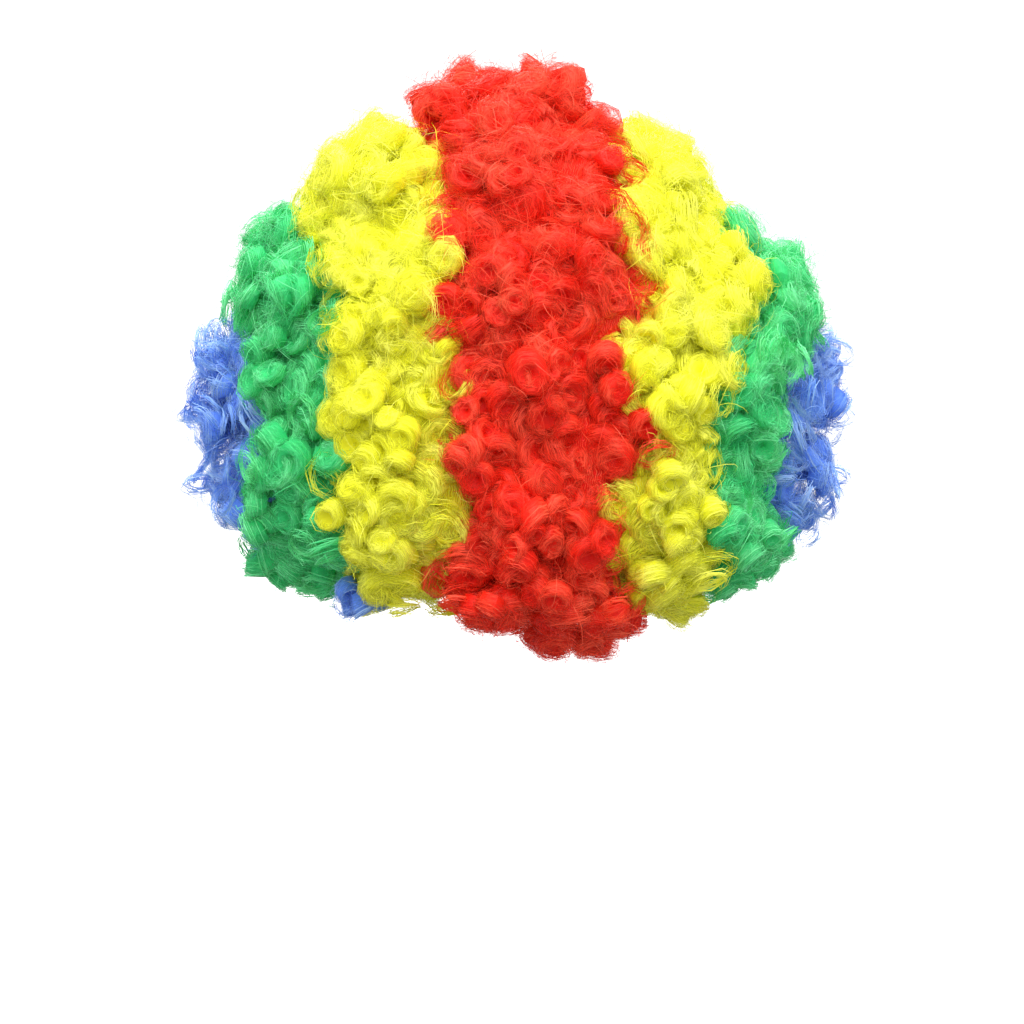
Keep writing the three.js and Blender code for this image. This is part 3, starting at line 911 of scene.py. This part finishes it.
def make_curls(band, ringlets, under, looks, rng):
    """The cores, sheets, haze, fibres and frizz of a band's ringlets, and the sheets of curls under them."""
    closed = picked(ringlets, ~ringlets["open"])
    make_cores(band, closed, looks["core"], rng)
    curls = {key: np.concatenate([closed[key], under[key]]) for key in closed}
    make_sheets(band, "_curls", curls, SHEET_SHARES, SHEET_COVER, SHEET_DRIFT, looks["sheet"], rng)
    hazy = picked(closed, rng.random(len(closed["tip"])) < HAZE_LEAST + closed["frizz"] - LEAST_FRIZZ)
    if len(hazy["tip"]) > 0:
        haze = swollen(hazy, HAZE_SIZE[0] + HAZE_SIZE[1] * hazy["frizz"])
        make_sheets(band, "_haze", haze, HAZE_SHARES, HAZE_COVER, HAZE_DRIFT, looks["sheet"], rng)
    make_fibres(band, ringlets, looks["fibre"], rng)
    make_frizz(band, ringlets, looks["fibre"], rng)


def make_hair(band, edge_tips, edge_axes, looks, rng):
    """One colour band: its ringlets, the curls under them, and its roots."""
    ringlets = band_ringlets(band, edge_tips, edge_axes, rng)
    make_curls(band, ringlets, under_ringlets(band, rng), looks, rng)
    make_backing(band, looks["roots"])


def make_lock(looks, rng):
    """The stray lock: a few ringlets, every second one open."""
    axes = unit(LOCK_AXIS + rng.normal(0, LOCK_STRAY, LOCK_TIPS.shape))
    is_open = np.arange(len(LOCK_TIPS)) % 2 == 1
    ringlets = sized_ringlets(LOCK_TIPS, axes, is_open, LOCK_RADIUS, RINGLET_LENGTH, rng)
    make_curls(LOCK, ringlets, picked(ringlets, slice(0)), looks, rng)


def head_point(turn, fall, offset):
    """Points of the head moved out by offset: an ellipsoid above its widest level, and below it a wall that
    tucks in with the square of the depth."""
    below = np.maximum(fall - math.pi / 2, 0)
    width = np.where(below > 0, 1 - NAPE_TUCK * below**2, np.sin(np.minimum(fall, math.pi / 2)))
    up = (HEAD_HALF_HEIGHT + offset) * np.cos(np.minimum(fall, math.pi / 2))
    height = np.where(below > 0, -HEAD_HALF_HEIGHT * below, up)
    x = (HEAD_HALF_WIDTH + offset) * width * np.sin(turn)
    y = -(HEAD_HALF_LENGTH + offset) * width * np.cos(turn)
    return np.stack(np.broadcast_arrays(x, y, height - HEAD_HALF_HEIGHT), axis=-1)


def make_cap(look):
    """The cap as one closed wall: rings from the crown down the outside to the rim, round it, and up the
    inside. The rim is a soft hem, a little thicker than the wall."""
    turn = np.linspace(0, FULL_TURN, CAP_SPOKES, endpoint=False)
    share = rim_depth(turn) / HEAD_HALF_HEIGHT
    rim = np.where(share > 1, math.pi / 2 + share - 1, np.arccos(1 - np.minimum(share, 1)))
    down = np.linspace(CROWN_SHARE, 1, CAP_RINGS)
    hem = CAP_HEM["swell"] * smooth((down - CAP_HEM["start"]) / CAP_HEM["fade"])
    fall = rim[None, :] * down[:, None]
    outside = head_point(turn[None, :], fall, CAP_WALL)
    inside = head_point(turn[None, :], fall, -hem[:, None])[::-1]
    points = np.concatenate([outside, inside])
    rings, spokes = points.shape[:2]
    number = np.arange(rings * spokes).reshape(rings, spokes)
    ring_on = np.roll(number, -1, axis=0)
    corners = (number, ring_on, np.roll(ring_on, -1, axis=1), np.roll(number, -1, axis=1))
    quads = np.stack(corners, axis=-1).reshape(-1, 4)
    finish_piece(new_mesh("stretch_cap", points.reshape(-1, 3), quads), CAP, look)


def set_sockets(node, sockets):
    """Values for named input sockets of a node, with underscores for spaces."""
    for name, value in sockets.items():
        node.inputs[name.replace("_", " ")].default_value = value


def new_look(name, **sockets):
    """A material with its node tree, and its Principled shader with values on named sockets."""
    look = bpy.data.materials.new(name)
    look.use_nodes = True
    shader = look.node_tree.nodes["Principled BSDF"]
    set_sockets(shader, sockets)
    return look, look.node_tree, shader


def add_node(tree, kind, **sockets):
    """A node of a kind, with values on named sockets."""
    node = tree.nodes.new(kind)
    set_sockets(node, sockets)
    return node


def join(tree, source, output, target, socket):
    """A link from an output of one node to a socket of another."""
    tree.links.new(source.outputs[output], target.inputs[socket])


def add_attribute(tree, label):
    """A node that reads an attribute of the mesh."""
    node = tree.nodes.new("ShaderNodeAttribute")
    node.attribute_name = label
    return node


def add_range(tree, source, output, **limits):
    """A node that maps another's output from one range to another."""
    node = add_node(tree, "ShaderNodeMapRange", **limits)
    join(tree, source, output, node, "Value")
    return node


def add_sum(tree, first, first_output, second, second_output):
    """A node that adds outputs of two nodes."""
    node = tree.nodes.new("ShaderNodeMath")
    join(tree, first, first_output, node, 0)
    join(tree, second, second_output, node, 1)
    return node


def new_group(name, inputs, outputs):
    """A node group with named sockets of given types, and its nodes for what comes in and goes out."""
    group = bpy.data.node_groups.new(name, "ShaderNodeTree")
    for way, sockets in (("INPUT", inputs), ("OUTPUT", outputs)):
        for label, kind in sockets.items():
            group.interface.new_socket(label, in_out=way, socket_type="NodeSocket" + kind)
    return group, group.nodes.new("NodeGroupInput"), group.nodes.new("NodeGroupOutput")


def place_group(tree, group, **sockets):
    """A node group in a material, with values on named sockets."""
    node = tree.nodes.new("ShaderNodeGroup")
    node.node_tree = group
    set_sockets(node, sockets)
    return node


def fibre_group():
    """Fine fibres round a curl: lines of noise, added to the tone within a range, with some relief."""
    inputs = {"Place": "Vector", "Tone": "Float", "Darkest": "Float", "Palest": "Float", "Relief": "Float"}
    outputs = {"Mask": "Float", "Lines": "Float", "Normal": "Vector"}
    group, source, sink = new_group("fine_fibres", inputs, outputs)
    lines = add_node(group, "ShaderNodeTexNoise", Scale=2.3, Detail=3.0, Roughness=0.65, Distortion=0.3)
    join(group, source, "Place", lines, "Vector")
    join(group, lines, "Fac", sink, "Lines")
    fine = add_range(group, lines, "Fac", From_Min=0.25, From_Max=0.75)
    join(group, source, "Darkest", fine, "To Min")
    join(group, source, "Palest", fine, "To Max")
    join(group, add_sum(group, source, "Tone", fine, "Result"), 0, sink, "Mask")
    bump = add_node(group, "ShaderNodeBump", Distance=0.0004)
    join(group, source, "Relief", bump, "Strength")
    join(group, lines, "Fac", bump, "Height")
    join(group, bump, "Normal", sink, "Normal")
    return group


def dye_and_light_group():
    """Uneven dye with painted light: a colour between shade, body and pale by a mask, which carries painted
    shade and highlights, shifted by soft blotches.
    """
    inputs = {"Shade": "Color", "Body": "Color", "Pale": "Color", "Mask": "Float"}
    group, source, sink = new_group("uneven_dye_and_painted_light", inputs, {"Color": "Color", "Roughness": "Float"})
    place = group.nodes.new("ShaderNodeTexCoord")
    blotch = add_node(group, "ShaderNodeTexNoise", Scale=60.0, Detail=3.0)
    join(group, place, "Object", blotch, "Vector")
    shift = add_range(group, blotch, "Fac", From_Min=0.3, From_Max=0.7, To_Min=-0.16, To_Max=0.16)
    total = add_sum(group, source, "Mask", shift, "Result")
    lower = add_range(group, total, 0, From_Min=0.0, From_Max=0.5)
    upper = add_range(group, total, 0, From_Min=0.5, From_Max=1.0)
    dark = group.nodes.new("ShaderNodeMix")
    light = group.nodes.new("ShaderNodeMix")
    for part, mix in ((lower, dark), (upper, light)):
        mix.data_type = "RGBA"
        join(group, part, "Result", mix, "Factor")
    first_colour, second_colour, mixed_colour = 6, 7, 2
    join(group, source, "Shade", dark, first_colour)
    join(group, source, "Body", dark, second_colour)
    join(group, dark, mixed_colour, light, first_colour)
    join(group, source, "Pale", light, second_colour)
    join(group, light, mixed_colour, sink, "Color")
    rough = add_range(group, blotch, "Fac", To_Min=0.34, To_Max=0.56)
    join(group, rough, "Result", sink, "Roughness")
    return group


def place_dye_and_light(tree, shader, groups, dye):
    """The group of dye and painted light in a material, with its three colours, feeding the shader."""
    colours = {label.capitalize(): (*colour, 1) for label, colour in dye.items()}
    node = place_group(tree, groups["dye"], **colours)
    join(tree, node, "Color", shader, "Base Color")
    join(tree, node, "Roughness", shader, "Roughness")
    return node


def add_relief(tree, shader, source, strength, distance):
    """Bumps on a shader by a node's pattern."""
    bump = add_node(tree, "ShaderNodeBump", Strength=strength, Distance=distance)
    join(tree, source, "Fac", bump, "Height")
    join(tree, bump, "Normal", shader, "Normal")


def lay_fibres(tree, shader, dye, groups, **limits):
    """Fine fibres on a shader, coloured at the mesh's own places and by its tone, which carries painted
    shade and highlights. Gives their node.
    """
    set_sockets(shader, {"Specular IOR Level": 0.2, "Sheen Weight": 0.25, "Sheen Tint": (*dye["pale"], 1)})
    fibres = place_group(tree, groups["fibres"], **limits)
    join(tree, add_attribute(tree, "fibre_place"), "Vector", fibres, "Place")
    join(tree, add_attribute(tree, "tone"), "Fac", fibres, "Tone")
    join(tree, fibres, "Mask", place_dye_and_light(tree, shader, groups, dye), "Mask")
    join(tree, fibres, "Normal", shader, "Normal")
    return fibres


def core_look(name, dye, groups):
    """Fine fibres that lie round a curl, with painted shade between them."""
    look, tree, shader = new_look(name + "_core")
    # Lines reach far towards the shade colour: painted shade in the gaps between the core's fibres
    lay_fibres(tree, shader, dye, groups, Darkest=-0.5, Palest=0.1, Relief=0.6)
    return look


def sheet_look(name, dye, groups):
    """A thin sheet of such fibres, with gaps between them, more of them where the cover is thin."""
    look, tree, shader = new_look(name + "_sheet")
    fibres = lay_fibres(tree, shader, dye, groups, Darkest=-0.14, Palest=0.2, Relief=0.3)
    cover = add_range(tree, add_attribute(tree, "cover"), "Fac", To_Min=-0.55, To_Max=0.05)
    cover.clamp = False
    total = add_sum(tree, fibres, "Lines", cover, "Result")
    gaps = add_range(tree, total, 0, From_Min=0.44, From_Max=0.64)
    join(tree, gaps, "Result", shader, "Alpha")
    return look


def fibre_look(name, dye, groups):
    """Glossy synthetic fibre, each with its own tone."""
    look, tree, shader = new_look(name + "_fibre", Specular_IOR_Level=0.25)
    node = place_dye_and_light(tree, shader, groups, dye)
    join(tree, add_attribute(tree, "tone"), "Fac", node, "Mask")
    return look


def roots_look(name, dye, groups):
    """Matted roots: waves bent so strongly that they look like tangled fibre, coloured mostly between shade
    and body as painted shade under the curls.
    """
    look, tree, shader = new_look(name + "_roots", Specular_IOR_Level=0.25)
    place = tree.nodes.new("ShaderNodeTexCoord")
    tangle = add_node(tree, "ShaderNodeTexWave", Scale=260.0, Distortion=16.0, Detail=2.0, Detail_Scale=0.7)
    join(tree, place, "Object", tangle, "Vector")
    # The mask keeps the roots mostly between the shade and body colours: painted shade deep under the curls
    mask = add_range(tree, tangle, "Fac", To_Min=-0.2, To_Max=0.75)
    add_relief(tree, shader, tangle, 0.7, 0.0008)
    join(tree, mask, "Result", place_dye_and_light(tree, shader, groups, dye), "Mask")
    return look


def cap_look():
    """Black stretch knit: fine ribs round the head, faintly uneven."""
    look, tree, shader = new_look("cap_knit", Specular_IOR_Level=0.3)
    place = tree.nodes.new("ShaderNodeTexCoord")
    ribs = add_node(tree, "ShaderNodeTexWave", Scale=420.0, Distortion=1.2, Detail=2.0)
    ribs.bands_direction = "Z"
    join(tree, place, "Object", ribs, "Vector")
    colour = tree.nodes.new("ShaderNodeValToRGB")
    colour.color_ramp.elements[0].color = (0.006, 0.006, 0.007, 1)
    colour.color_ramp.elements[1].color = (0.03, 0.03, 0.034, 1)
    join(tree, ribs, "Fac", colour, "Fac")
    join(tree, colour, "Color", shader, "Base Color")
    rough = add_range(tree, ribs, "Fac", To_Min=0.7, To_Max=0.9)
    join(tree, rough, "Result", shader, "Roughness")
    add_relief(tree, shader, ribs, 0.5, 0.0006)
    return look


def add_by_camera_ray(tree, others, camera):
    """A value that is one number for the camera's own rays and another for all others."""
    path = tree.nodes.new("ShaderNodeLightPath")
    return add_range(tree, path, "Is Camera Ray", To_Min=others, To_Max=camera)


def facing_away(thing, back):
    """Turns a camera or lamp so that it looks along the opposite of a direction."""
    thing.rotation_mode = "QUATERNION"
    thing.rotation_quaternion = (-back).to_track_quat("-Z", "Y")


def make_camera():
    """A level camera behind the wearer's head, a little to their left."""
    data = bpy.data.cameras.new("camera")
    camera = bpy.data.objects.new("camera", data)
    bpy.context.collection.objects.link(camera)
    data.sensor_width = SENSOR_WIDTH
    data.lens = data.sensor_width * CAMERA_DISTANCE / FRAME_WIDTH
    back = Vector((math.sin(CAMERA_TURN), -math.cos(CAMERA_TURN), 0.0))
    camera.location = Vector((CAMERA_ASIDE, 0.0, CAMERA_LEVEL)) + back * CAMERA_DISTANCE
    facing_away(camera, back)
    bpy.context.scene.camera = camera


def make_floor():
    """A plain white floor, which sends back only part of its light to the hair."""
    square = np.array([[-1, -1, 0], [1, -1, 0], [1, 1, 0], [-1, 1, 0]])
    floor = new_mesh("floor", square * FLOOR_REACH + [0, 0, FLOOR_LEVEL], np.array([[0, 1, 2, 3]]))
    look, tree, shader = new_look("floor_white", Roughness=0.9, Specular_IOR_Level=0.0)
    join(tree, add_by_camera_ray(tree, 0.25, 0.95), "Result", shader, "Base Color")
    floor.data.materials.append(look)


def add_sun(name, strength, spread, turn, height):
    """A soft lamp far away, at a turn and a height."""
    data = bpy.data.lights.new(name, "SUN")
    data.energy = strength * math.pi
    data.angle = math.radians(spread)
    lamp = bpy.data.objects.new(name, data)
    bpy.context.collection.objects.link(lamp)
    turn, height = math.radians(turn), math.radians(height)
    level = math.cos(height)
    facing_away(lamp, Vector((math.sin(turn) * level, -math.cos(turn) * level, math.sin(height))))


def make_light():
    """Soft studio light: a white surround that lights less than it shows, a broad lamp overhead behind the
    wearer, and weaker ones in front and behind. Rays may pass through many sheets of fibre."""
    scene = bpy.context.scene
    scene.world = bpy.data.worlds.new("white_studio")
    scene.world.use_nodes = True
    tree = scene.world.node_tree
    background = tree.nodes["Background"]
    background.inputs["Color"].default_value = (1, 1, 1, 1)
    join(tree, add_by_camera_ray(tree, 0.66, 1.05), "Result", background, "Strength")
    for row in SUNS:
        add_sun(**row)
    scene.view_settings.view_transform = "Standard"
    scene.view_settings.exposure = 0.4
    scene.cycles.transparent_max_bounces = 16


make_camera()
make_floor()
make_light()

rng = np.random.default_rng(SEED)
groups = {"dye": dye_and_light_group(), "fibres": fibre_group()}
kinds = {"core": core_look, "sheet": sheet_look, "fibre": fibre_look, "roots": roots_look}
looks = {
    slot: {kind: make_look(slot, dye, groups) for kind, make_look in kinds.items()}
    for slot, dye in DYES_AND_PAINTED_LIGHT.items()
}
places = (face_edge_places(rng), inner_places(rng))
edge_tips, edge_axes = (np.concatenate(parts) for parts in zip(*places))
for band in all_bands():
    make_hair(band, edge_tips, edge_axes, looks[band["slot"]], rng)
make_lock(looks["hair_blue"], np.random.default_rng(LOCK_SEED))
make_cap(cap_look())
